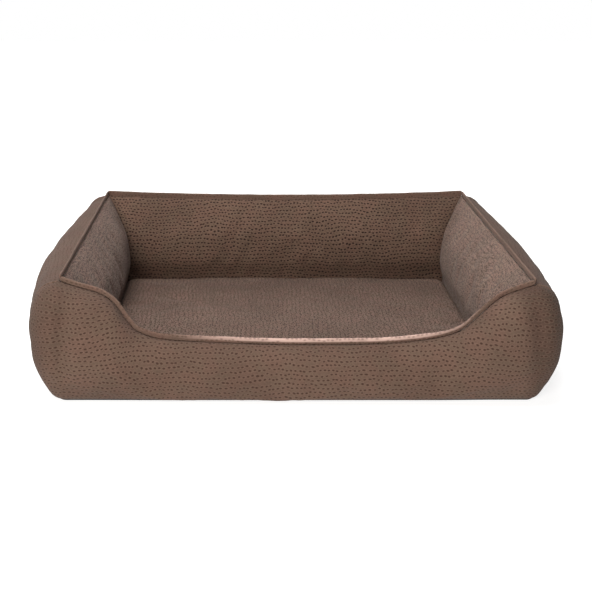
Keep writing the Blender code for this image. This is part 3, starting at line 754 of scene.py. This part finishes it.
def front_creases(points):
    """Soft upright creases below both peaks, where the panel turns its corner."""
    z = points[..., 2]
    amount = np.zeros(z.shape)
    fade = smooth_step(0.035, 0.095, z) * smooth_step(0.222, 0.165, z)
    for x0, lean, depth in FRONT_CREASES:
        x = points[..., 0] - x0 - lean * (z - 0.12)
        crease = -np.exp(-(x / 0.012) ** 2)
        swell = 0.45 * (np.exp(-((x - 0.030) / 0.020) ** 2) + np.exp(-((x + 0.030) / 0.020) ** 2))
        facing = points[..., 1] < -RIM_HALF_DEPTH + 0.01
        amount += np.where(facing, depth * (crease + swell) * fade, 0.0)
    return points + grid_normals(points) * amount[..., None]


def flat_size(uvs):
    flat = uvs.reshape(-1, 2)
    return tuple(float(x) for x in flat.max(axis=0) - flat.min(axis=0))


def flat_area(uvs):
    """Area of the flat pattern that a grid's UVs cover."""
    d0 = uvs[1:, 1:] - uvs[:-1, :-1]
    d1 = uvs[:-1, 1:] - uvs[1:, :-1]
    return float(np.abs(d0[..., 0] * d1[..., 1] - d0[..., 1] * d1[..., 0]).sum() / 2)


def declare_sheet(uvs, window=None):
    width, length = flat_size(uvs)
    area = min(flat_area(uvs), width * length)
    if window:
        (left, right), (low, high) = window
        area -= flat_area(uvs[left:right + 1, low:high + 1])


def fit_zip_window(points):
    """Move the nearest grid lines onto the edges of the zip window; gives its columns and rows."""
    half, low, high = COVER_ZIP_WINDOW
    middle = points.shape[0] // 2
    rows = [int(np.argmin(np.abs(points[middle, :, 2] - z))) for z in (low, high)]
    cols = sorted(int(np.argmin(np.abs(points[:, rows[0], 0] - x))) for x in (-half, half))
    beside = smooth_step(0.415, 0.380, np.abs(points[..., 0]))
    for row, z in zip(rows, (low, high)):
        points[:, row, 2] += (z - points[:, row, 2]) * beside[:, row]
    for col in cols:
        line = points[col, rows[0]:rows[1] + 1]
        line[:, 0] = np.sign(line[0, 0]) * half
    return cols, rows


def build_outer_panels():
    materials = (FRONT_FABRIC, FLANK_FABRIC_PAINTED_SHADE, FABRIC, FLANK_FABRIC_PAINTED_SHADE)
    for side, (name, material) in enumerate(zip(SIDES, materials)):
        points = outer_panel_points(side)
        pattern = wall_pattern(points)
        loose = np.ones(points.shape[:2])
        window = None
        if side == 2:
            x, z = np.abs(points[..., 0]), points[..., 2]
            loose = 1 - smooth_step(0.062, 0.040, z) * smooth_step(0.425, 0.390, x)
            window = fit_zip_window(points)
        points = add_fabric_form(points, 11.0 + 7.3 * side, loose=loose)
        if side == 0:
            points = front_creases(points)
        obj = grid_object(name + "_outer_cover", points, pattern, material, window=window)
        register(obj, "cover", name + "_outer_panel")
        held = set(border(*points.shape[:2])) | set(np.flatnonzero(loose.ravel() < 0.7))
        PANELS.append((obj, sorted(map(int, held)), 0.4, 0.010, 0.006))
        declare_sheet(pattern, window)


def build_inner_panels():
    for side, name in enumerate(SIDES):
        length = side_length(side)
        t = ring_stations([(0.0, 1.0, length)])
        levels = even_levels(INNER_PROFILE, BACK_CORNER_HEIGHT)
        u, level = np.meshgrid(2 * side + within_run(t), levels, indexing="ij")
        from_end = np.minimum(u - np.floor(u), 1 - (u - np.floor(u))) * length
        pull = 1 - 0.10 * np.exp(-from_end / 0.022) * smooth_step(0.0, 0.25, level)
        points = wall_points(u, level, -smooth_curve(INNER_PROFILE, level) * pull)
        pattern = wall_pattern(points)
        points = add_fabric_form(points, 51.0 + 5.1 * side, lump=-0.0012 if side == 2 else -0.0020)
        points, pattern = points[::-1], pattern[::-1]
        material = SIDE_FABRIC if side in (1, 3) else BACK_FABRIC
        obj = grid_object(name + "_inner_cover", points, pattern, material)
        register(obj, "cover", name + "_inner_panel")
        PANELS.append((obj, border(*points.shape[:2]), 0.4, 0.008, 0.005))
        declare_sheet(pattern)


# ---------------------------------------------------------------- seams

# Cross-section of the ridge, in half thicknesses and heights: a folded edge that is thickest near its
# rounded top, with a stitched waist
RIDGE_SIDE = [(0.60, -0.42), (0.50, -0.10), (0.56, 0.08), (0.92, 0.30), (1.10, 0.54), (1.02, 0.78),
              (0.68, 0.94)]
RIDGE_SECTION = np.array(RIDGE_SIDE + [(0.0, 1.0)] + [(-across, up) for across, up in RIDGE_SIDE[::-1]])
OUTWARD = ((0.0, -1.0, 0.0), (1.0, 0.0, 0.0), (0.0, 1.0, 0.0), (-1.0, 0.0, 0.0))


def rim_path(side):
    t = np.linspace(0, 1, round(side_length(side) / 0.0035) + 1)
    u = 2 * side + within_run(t)
    points = wall_points(u, np.ones_like(u), np.zeros_like(u))
    points[:, 2] += SEAM_GROOVE
    return points


def build_ridges():
    plain_heights = (PEAK_RIDGE_HEIGHT, RIDGE_HEIGHT, BACK_RIDGE_HEIGHT, RIDGE_HEIGHT)
    count = len(RIDGE_SECTION)
    for side, name in enumerate(SIDES):
        path = rim_path(side)
        outward = np.array(OUTWARD[side])
        along = path_length(path[:, None], 0)[:, 0]
        up = np.cross(outward, unit(np.gradient(path, axis=0)))
        up = unit(up * np.sign(up[:, 2:3]))
        wander = np.stack([along, along * 0 + side * 3.7, along * 0], axis=-1)
        height = np.full(len(path), plain_heights[side])
        if side == 0:
            height += (ENTRANCE_RIDGE_HEIGHT - height) * (1 - smooth_step(0.20, 0.34, np.abs(path[:, 0])))
        height += 0.0008 * noise_field(wander, 22.0, 2.0) + 0.0003 * noise_field(wander, 90.0, 4.0)
        sway = 0.0011 * noise_field(wander, 14.0, 6.0) + 0.0004 * noise_field(wander, 60.0, 8.0)
        ends = 1 - np.exp(-np.minimum(along, along[-1] - along) / 0.01)
        width = 1 + 0.07 * np.sin(along * 2 * pi / 0.011 + 5 * sway / 0.001)
        across = RIDGE_SECTION[:, 0] * RIDGE_HALF_THICKNESS * width[:, None]
        across += (sway * ends)[:, None] * np.maximum(RIDGE_SECTION[:, 1], 0)
        above = RIDGE_SECTION[:, 1] * height[:, None]
        points = path[:, None] + outward * across[..., None] + up[:, None] * above[..., None]
        around = path_length(points, 1) + 0.003
        uvs = np.stack([np.broadcast_to(along[:, None], above.shape), around], axis=-1)
        firsts = range(0, (len(path) - 1) * count, count)
        faces = grid_faces(len(path), count).tolist()
        faces += [[first, first + count - 1, first + 2 * count - 1, first + count] for first in firsts]
        faces.append(list(range(count)))
        faces.append(list(range((len(path) - 1) * count, len(path) * count))[::-1])
        material = ENTRANCE_SEAM_FABRIC if side == 0 else SEAM_FABRIC
        obj = mesh_object(name + "_rim_ridge", points.reshape(-1, 3), faces, material, uvs.reshape(-1, 2))
        fix_normals(obj)
        obj.modifiers.new("Smooth", "SUBSURF").render_levels = 1
        register(obj, "cover", name + "_rim_seam")


def build_corner_seams():
    """Raised seams down the sides where the wrapped panels end, and cords in the mitres of the well."""
    levels = np.linspace(0.0, 0.995, 60)
    wobble = 1 + 0.10 * np.sin(np.arange(len(levels)) * 1.9)
    outer_radius = (0.0013 + 0.0012 * smooth_step(0.70, 1.0, levels)) * wobble
    inner_n = -smooth_curve(INNER_PROFILE, levels) * (1 - 0.10 * smooth_step(0.0, 0.25, levels))
    for name, corner_u in zip(CORNERS, (2.0, 3.0 - 1e-6, 6.0, 7.0 - 1e-6)):
        u = np.full_like(levels, corner_u)
        path = wall_points(u, levels, outer_distance(u, levels) + 0.0004)
        welt = tube(name + "_corner_welt", path, outer_radius, SEAM_FABRIC)
        register(welt, "cover", name + "_corner_seam")
    for name, corner_u in zip(CORNERS, (2.0, 4.0, 6.0, 8.0)):
        path = wall_points(np.full_like(levels, corner_u - 1e-6), levels, inner_n + 0.0004)
        welt = tube(name + "_inner_welt", path, 0.0011, SEAM_FABRIC)
        register(welt, "cover", name + "_inner_corner_seam")


# ---------------------------------------------------------------- cushion

def rounded_side_point(square, inset):
    """Point on the cushion's outline, inset from it, for a point (a, b) on the edge of the unit square."""
    radius = np.maximum(CUSHION_CORNER_RADIUS - inset, 0.0005)
    half = (CUSHION_HALF_WIDTH - inset, CUSHION_HALF_DEPTH - inset)
    a, b = square[..., 0], square[..., 1]
    on_x = np.abs(a) >= np.abs(b)
    c = np.where(on_x, b, a)
    straight = np.where(on_x, half[1], half[0]) - radius
    arc = radius * pi / 4
    s = np.abs(c) * (straight + arc)
    angle = np.clip((s - straight) / np.maximum(radius, 1e-9), 0, pi / 4)
    across = np.minimum(s, straight) + radius * np.sin(angle)
    out = np.where(on_x, half[0], half[1]) - radius + radius * np.cos(angle)
    x = np.where(on_x, np.sign(a) * out, np.sign(a) * across)
    y = np.where(on_x, np.sign(b) * across, np.sign(b) * out)
    return np.stack([x, y], axis=-1)


def cushion_grid(profile, shrink=0.0):
    """Points and flat pattern of one face of the cushion; profile gives its heights from the edge inwards."""
    def uneven(count):
        t = np.linspace(-1, 1, count + 1)
        return np.sign(t) * (1 - (1 - np.abs(t)) ** 1.25)

    cols = round(2 * CUSHION_HALF_WIDTH / CELL)
    rows = round(2 * CUSHION_HALF_DEPTH / CELL)
    a, b = np.meshgrid(uneven(cols), uneven(rows), indexing="ij")
    reach = np.maximum(np.abs(a), np.abs(b))
    fine = np.linspace(0, 0.26, 2000)
    heights = smooth_curve(profile, fine)
    arc = np.concatenate([[0], np.cumsum(np.hypot(np.diff(fine), np.diff(heights)))])
    total = arc[-1]
    from_edge = (1 - reach) * total
    inset = np.interp(from_edge, arc, fine)
    square = np.stack([a, b], axis=-1) / np.maximum(reach, 1e-9)[..., None]
    xy = rounded_side_point(square, inset + shrink)
    flat = rounded_side_point(square, from_edge - (total - 0.26))
    centre = np.maximum(reach, 1e-9) < 1e-6
    xy[centre] = 0
    flat[centre] = 0
    z = np.interp(inset, fine, heights)
    x, y = xy[..., 0], xy[..., 1]
    points = np.stack([x * (1 + WIDTH_TAPER * y), y, z], axis=-1)
    pattern = np.stack([flat[..., 1], flat[..., 0]], axis=-1)
    return points, pattern


def open_cushion_zip(points, edge_z):
    """Draw the back edge of a cushion face away from the zip, to edge_z."""
    at_edge = points[:, -1, :]
    beside = smooth_step(CUSHION_ZIP_HALF + 0.008, CUSHION_ZIP_HALF - 0.004, np.abs(at_edge[:, 0]))
    at_edge[:, 2] += (edge_z - at_edge[:, 2]) * beside
    at_edge[:, 1] -= 0.0008 * beside


def distance_to_edge(points):
    across = CUSHION_HALF_WIDTH - np.abs(points[..., 0])
    return np.minimum(across, CUSHION_HALF_DEPTH - np.abs(points[..., 1]))


def build_cushion():
    points, pattern = cushion_grid(CUSHION_TOP)
    inside = 1 - np.exp(-np.maximum(distance_to_edge(points), 0) / 0.03)
    lumps = 0.0014 * noise_field(points, 7.0, 3.0) + 0.0004 * noise_field(points, 24.0, 9.0)
    points[..., 2] += lumps * inside
    open_cushion_zip(points, CUSHION_ZIP_OPENING[1])
    top = grid_object("cushion_top_cover", points, pattern, WELL_FABRIC)
    register(top, "cushion", "cushion_top_panel")
    PANELS.append((top, border(*points.shape[:2]), 0.3, 0.004, 0.003))
    declare_sheet(pattern)
    points, pattern = cushion_grid(CUSHION_UNDER)
    open_cushion_zip(points, CUSHION_ZIP_OPENING[0])
    bottom = grid_object("cushion_bottom_cover", points[::-1], pattern[::-1], LINING)
    register(bottom, "cushion", "cushion_bottom_panel")
    thicken(bottom, 0.0010)
    declare_sheet(pattern)


def cushion_outline(inset):
    count = 420
    t = np.linspace(0, 8, count, endpoint=False)
    side = np.floor(t / 2).astype(int)
    c = (t / 2 - side) * 2 - 1
    one = np.ones(count)
    a = np.choose(side, [c, one, -c, -one])
    b = np.choose(side, [-one, c, one, -c])
    return rounded_side_point(np.stack([a, b], axis=-1), np.full(count, inset))


def build_cushion_seam():
    """Cord round the cushion, from one end of its zip to the other."""
    xy = cushion_outline(0.0004)
    z = CUSHION_SEAM_Z + 0.0004 * np.sin(np.arange(len(xy)) * 0.9)
    path = np.stack([xy[:, 0] * (1 + WIDTH_TAPER * xy[:, 1]), xy[:, 1], z], axis=-1)
    at_zip = (np.abs(path[:, 0]) < CUSHION_ZIP_HALF) & (path[:, 1] > 0.28)
    first = int(np.flatnonzero(at_zip)[-1]) + 1
    path = np.roll(path, -first, axis=0)[:len(path) - int(at_zip.sum())]
    seam = tube("cushion_edge_welt", path, 0.0016, SEAM_FABRIC)
    register(seam, "cushion", "cushion_edge_seam")


def build_liner():
    """Closed cotton liner inside the cushion's cover, crowned like the cushion and a little smaller."""
    top, pattern = cushion_grid(LINER_TOP, LINER_SHRINK)
    under, _ = cushion_grid(LINER_UNDER, LINER_SHRINK)
    inside = 1 - np.exp(-np.maximum(distance_to_edge(top) - 0.014, 0) / 0.02)
    top[..., 2] += 0.0009 * (noise_field(top, 16.0, 4.0) - 0.6) * inside
    cols, rows = top.shape[:2]
    faces = grid_faces(cols, rows)
    liner = mesh_object("cushion_liner_pad", np.concatenate([top.reshape(-1, 3), under.reshape(-1, 3)]),
                        np.concatenate([faces, faces[:, ::-1] + cols * rows]), CASING,
                        np.concatenate([pattern.reshape(-1, 2)] * 2))
    with editing(liner) as mesh_data:
        bmesh.ops.remove_doubles(mesh_data, verts=mesh_data.verts, dist=0.00001)
    register(liner, "cushion", "cushion_liner")


# ---------------------------------------------------------------- zips and label

TOOTH_PITCH = 0.0022
TOOTH_WIDTH = 0.0009
TOOTH_DEPTH = 0.0017
# name: (body, y of the tapes' face, half length, lower tape z, upper tape z)
ZIPS = {
    "cover": ("cover", 0.3606, 0.368, (0.0098, 0.0205), (0.0225, 0.036)),
    "cushion": ("cushion", 0.2826, 0.330, (0.0120, 0.0225), (0.0245, 0.0350)),
}


def build_tape(name, zip_name, side, z_range):
    """One woven tape and its row of coil teeth, which reach in between those of the other tape."""
    body, y, half, lower, upper = ZIPS[zip_name]
    low, high = z_range
    stations = np.linspace(half, -half, round(2 * half / 0.008) + 1)
    x, z = np.meshgrid(stations, np.linspace(low, high, 4), indexing="ij")
    points = np.stack([x, y + 0.00008 * np.sin(x * 130), z], axis=-1)
    pattern = np.stack([half - x, z - low], axis=-1)
    tape = grid_object(name + "_cloth", points, pattern, TAPE)
    thicken(tape, 0.0005)
    declare_sheet(pattern)
    middle = (lower[1] + upper[0]) / 2
    z_low, z_high = (middle - 0.0026, middle + 0.0006) if side < 0 else (middle - 0.0006, middle + 0.0026)
    start = -half + 0.004 + (0.0 if side < 0 else TOOTH_PITCH / 2)
    # A tooth is a stack of four rectangles, deepest above its middle
    layers = ((z_low, 0.4), (z_low + 0.0006, 0.9), (z_high - 0.0006, 1.0), (z_high, 0.55))
    verts, faces = [], []
    for i in range(int((2 * half - 0.009) / TOOTH_PITCH)):
        left = start + i * TOOTH_PITCH
        right = left + TOOTH_WIDTH
        first = len(verts)
        for z_at, deep in layers:
            back = y + TOOTH_DEPTH * deep
            verts += [(left, y, z_at), (right, y, z_at), (right, back, z_at), (left, back, z_at)]
        for a in range(first, first + 12, 4):
            faces += [(a + k, a + (k + 1) % 4, a + 4 + (k + 1) % 4, a + 4 + k) for k in range(4)]
        faces += [tuple(range(first, first + 4))[::-1], tuple(range(first + 12, first + 16))]
    teeth = mesh_object(name + "_teeth", verts, faces, COIL)
    fix_normals(teeth)
    for obj in (tape, teeth):
        register(obj, body, name)


def build_metal(name, body, rounding=0.0003):
    """Smooth-edged metal part of a zip, in the place of its CAD node."""
    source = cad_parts[name]
    obj = link(bpy.data.objects.new(name + "_metal", source.data.copy()))
    obj.matrix_world = source.matrix_world.copy()
    obj.data.materials.clear()
    obj.data.materials.append(METAL)
    with editing(obj) as mesh_data:
        bmesh.ops.remove_doubles(mesh_data, verts=mesh_data.verts, dist=0.000005)
        bmesh.ops.dissolve_limit(mesh_data, angle_limit=radians(1.0), verts=mesh_data.verts,
                                 edges=mesh_data.edges)
    bevel = obj.modifiers.new("Rounding", "BEVEL")
    bevel.width = rounding
    bevel.segments = 2
    bevel.limit_method = "ANGLE"
    bevel.angle_limit = radians(40)
    register(obj, body, name)


def build_zips():
    for zip_name, (body, _, _, lower, upper) in ZIPS.items():
        build_tape(zip_name + "_zip_lower_tape", zip_name, -1, lower)
        build_tape(zip_name + "_zip_upper_tape", zip_name, 1, upper)
        build_metal(zip_name + "_zip_closed_stop", body)
        build_metal(zip_name + "_zip_open_stop", body)
        build_metal(zip_name + "_zip_slider", zip_name + "_zip_runner")
    build_metal("cover_zip_bail", "cover_zip_runner", 0.0002)
    build_metal("cover_zip_pull", "cover_zip_tab", 0.0002)


LABEL_X = (-0.4965, -0.5134)
LABEL_Y = 0.3350
LABEL_HEIGHTS = (0.050, 0.076)
LABEL_HALF_GAP = 0.0007


def build_label():
    """Small blank loop of ribbon, folded at its outer end and sewn into the back left corner seam."""
    inner_x, outer_x = LABEL_X
    front, back = LABEL_Y - LABEL_HALF_GAP, LABEL_Y + LABEL_HALF_GAP
    leaf = np.linspace(inner_x, outer_x, 8)[:-1]
    line = [(x, front) for x in leaf]
    for angle in np.linspace(pi, 0, 7):
        line.append((outer_x - LABEL_HALF_GAP * sin(angle), LABEL_Y + LABEL_HALF_GAP * cos(angle)))
    line += [(x, back) for x in leaf[::-1]]
    heights = np.linspace(*LABEL_HEIGHTS, 8)
    points = np.array([[(x, y + 0.0003 * sin(x * 500 + z * 160), z) for z in heights] for x, y in line])
    pattern = wall_pattern(points)
    label = grid_object("cover_label_loop", points, pattern, LABEL)
    thicken(label, 0.0003, offset=0.0)
    register(label, "cover", "cover_label")
    declare_sheet(pattern)


def build_well_floor():
    """Lining stretched over the bottom of the well, under the cushion."""
    x, y = np.meshgrid(np.linspace(-0.3935, 0.3935, 81), np.linspace(-0.2905, 0.2905, 61), indexing="ij")
    points = np.stack([x * (1 + WIDTH_TAPER * y), y, np.full_like(x, 0.0036)], axis=-1)
    points[..., 2] += 0.0004 * noise_field(points, 9.0, 21.0)
    pattern = np.stack([x, y], axis=-1)
    floor = grid_object("well_floor_cloth", points, pattern, LINING)
    thicken(floor, 0.0009)
    register(floor, "cover", "well_floor_panel")
    declare_sheet(pattern)


# ---------------------------------------------------------------- base

# The base cloth's edge turns up under the wall: (distance inside the foot, z)
BASE_RINGS = ((0.0, 0.0032), (0.0004, 0.0016), (0.0022, 0.0002), (0.012, 0.0), (0.05, 0.0))


def build_base():
    lengths = (0.876, 0.05, 0.67, 0.05) * 2
    u = ring_stations([(run, run + 1, length) for run, length in enumerate(lengths)])[:-1]
    foot = outer_distance(u, np.zeros_like(u))
    verts = []
    for inward, z in BASE_RINGS:
        x, y = ring_xy(u, foot - inward)
        verts += list(zip(x * (1 + WIDTH_TAPER * y), y, np.full_like(x, z)))
    count = len(u)
    inmost = (len(BASE_RINGS) - 1) * count
    faces = []
    for ring in range(0, inmost, count):
        for i in range(count):
            j = (i + 1) % count
            faces.append((ring + i, ring + count + i, ring + count + j, ring + j))
    faces.append(tuple(range(inmost, inmost + count))[::-1])
    base = mesh_object("base_cloth", verts, faces, BASE, [vert[:2] for vert in verts])
    fix_normals(base)
    register(base, "cover", "base_panel")
    thicken(base, 0.0012)


# ---------------------------------------------------------------- light, floor and camera

FLOOR_HALF = 14.0
FLOOR_Z = -0.0006
FLOOR_GLOW = 0.80
FLOOR_TONES = ((0.37, 0.37, 0.37, 1.0), (0.39, 0.39, 0.39, 1.0))
WORLD_STRENGTH = 0.15
LIGHT_TARGET = Vector((0, 0, 0.1))
# name, place, size, power and colour
LIGHTS = (
    ("overhead", (-0.5, -0.1, 2.3), (1.8, 1.6), 68.0, (0.98, 0.99, 1.0)),
    ("key", (-0.95, -2.6, 1.25), (0.9, 0.9), 58.0, (1.0, 0.97, 0.92)),
    ("front", (-0.2, -2.7, 0.5), (1.6, 0.6), 14.0, (1.0, 0.97, 0.94)),
    ("back", (0.0, 2.4, 1.8), (2.0, 1.0), 50.0, (1.0, 0.98, 0.97)),
)
CAMERA_PLACE = (-0.085, -1.889, 0.717)
CAMERA_TILT = radians(71.62)
CAMERA_LENS = 54.6
CAMERA_SHIFT = 0.0758


def build_stage():
    """Plain pale floor that stays white out to its edges, far beyond the lights."""
    corners = [(x * FLOOR_HALF, y * FLOOR_HALF, 0) for x, y in ((-1, -1), (1, -1), (1, 1), (-1, 1))]
    floor_mesh = bpy.data.meshes.new("floor")
    floor_mesh.from_pydata(corners, [], [(0, 1, 2, 3)])
    floor = link(bpy.data.objects.new("floor", floor_mesh))
    floor.location.z = FLOOR_Z
    material, tree, shader = new_material("floor", 0.9)
    place = object_socket(tree)
    tone = noise_texture(tree, place, 2.0, 2.0)
    tree.links.new(mix_colour(tree, tone, *FLOOR_TONES), shader.inputs["Base Color"])
    away = node(tree, "ShaderNodeVectorMath", {0: place}, operation="LENGTH").outputs["Value"]
    glow = plus(tree, times(tree, rise(tree, away, 0.9, 2.8), 1.0 - FLOOR_GLOW), FLOOR_GLOW)
    shader.inputs["Emission Color"].default_value = WHITE
    tree.links.new(glow, shader.inputs["Emission Strength"])
    floor_mesh.materials.append(material)


def build_light():
    """A dim soft studio whose horizon is white, and four soft boxes."""
    world = bpy.data.worlds.new("studio")
    bpy.context.scene.world = world
    world.use_nodes = True
    tree = world.node_tree
    direction = node(tree, "ShaderNodeTexCoord").outputs["Generated"]
    horizon = times(tree, rise(tree, axes(tree, direction)[2], 0.24, 0.12), 1.0 - WORLD_STRENGTH)
    background = tree.nodes["Background"]
    background.inputs["Color"].default_value = WHITE
    tree.links.new(plus(tree, horizon, WORLD_STRENGTH), background.inputs["Strength"])
    for name, place, size, power, colour in LIGHTS:
        light = bpy.data.lights.new(name, "AREA")
        light.shape = "RECTANGLE"
        light.size, light.size_y = size
        light.energy = power
        light.color = colour
        obj = link(bpy.data.objects.new(name, light))
        obj.location = place
        obj.rotation_euler = (LIGHT_TARGET - Vector(place)).to_track_quat("-Z", "Y").to_euler()


def build_camera():
    data = bpy.data.cameras.new("camera")
    data.lens = CAMERA_LENS
    data.sensor_width = 36.0
    data.shift_x = CAMERA_SHIFT
    data.clip_end = 50
    camera = link(bpy.data.objects.new("camera", data))
    camera.location = CAMERA_PLACE
    camera.rotation_euler = (CAMERA_TILT, 0, 0)
    bpy.context.scene.camera = camera
    bpy.context.scene.view_settings.view_transform = "Standard"


# ---------------------------------------------------------------- carried-over CAD nodes

def give(material, name):
    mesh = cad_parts[name].data
    mesh.materials.clear()
    mesh.materials.append(material)


def dress_frame():
    """Materials and softness of the filling, which stays inside as the CAD made it."""
    for name in SIDES:
        give(FILLING, name + "_core")
        give(CASING, name + "_casing")
    give(FILLING, "cushion_wadding")
    give(FOAM, "cushion_foam")


build_camera()
build_light()
build_stage()
dress_frame()
build_outer_panels()
build_inner_panels()
build_ridges()
build_corner_seams()
build_cushion()
build_cushion_seam()
build_liner()
build_base()
build_well_floor()
build_zips()
build_label()
run_simulation()
finish_panels()
